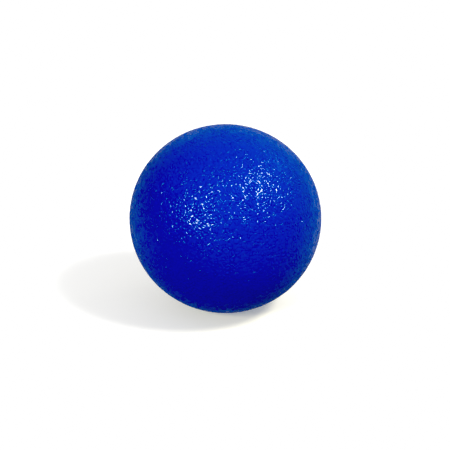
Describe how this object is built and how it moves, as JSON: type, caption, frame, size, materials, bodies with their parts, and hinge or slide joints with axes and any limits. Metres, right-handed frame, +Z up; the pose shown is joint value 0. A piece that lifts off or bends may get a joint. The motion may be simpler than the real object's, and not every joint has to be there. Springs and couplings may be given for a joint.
{
  "type": "stress ball",
  "caption": "Round hand-sized stress ball: a soft blue grained rubber cover over a bag of gel, to be squeezed and let go.",
  "frame": {"origin": "centre of the flat patch that the ball rests on", "axes": "+Z up; the filling port in the cover faces +Y; +X to the right as seen with the port behind"},
  "size_m": [0.06, 0.06, 0.0586],
  "materials": {
    "blue_rubber": "leather-grained moulded rubber with a soft sheen",
    "clear_glue": "cured clear adhesive",
    "milky_rubber": "smooth milky translucent rubber",
    "clear_gel": "wet-looking clear elastic gel with small bubbles"
  },
  "bodies": {
    "cover": {"cover": "blue_rubber", "bladder": "milky_rubber"},
    "filling": {"gel_core": "clear_gel", "bladder_stopper": "milky_rubber", "cover_plug": "blue_rubber", "glue_ring": "clear_glue"}
  },
  "joints": [
    {"name": "squeeze", "type": "slide", "parent": "cover", "child": "filling", "axis": [0, 0, -1], "range_m": [0, 0.0087], "stiffness_N_per_m": 5600, "deforming": ["cover", "bladder", "gel_core"]}
  ]
}
